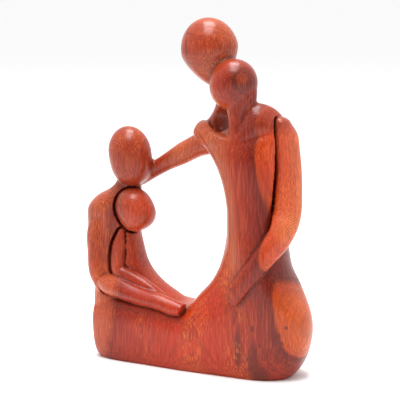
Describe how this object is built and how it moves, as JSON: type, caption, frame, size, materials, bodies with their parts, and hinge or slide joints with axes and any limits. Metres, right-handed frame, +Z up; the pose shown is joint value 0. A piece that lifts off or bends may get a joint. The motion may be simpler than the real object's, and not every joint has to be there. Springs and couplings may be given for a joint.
{
  "type": "wood sculpture",
  "caption": "Family group carved from a single block of reddish wood: embracing adults, a seated figure with a child in its lap, smooth egg-shaped heads, an open middle and a flat underside.",
  "frame": {"origin": "on the ground under the middle of the carving's bounding box", "axes": "+Z up, -Y towards the front of the carving, +X towards the embracing adults and -X towards the seated figure"},
  "size_m": [0.2839, 0.0916, 0.3998],
  "materials": {
    "wood": "reddish-brown stained hardwood, sanded smooth and polished to a satin gloss"
  },
  "bodies": {
    "root": {"family_carving": "wood"}
  },
  "joints": []
}
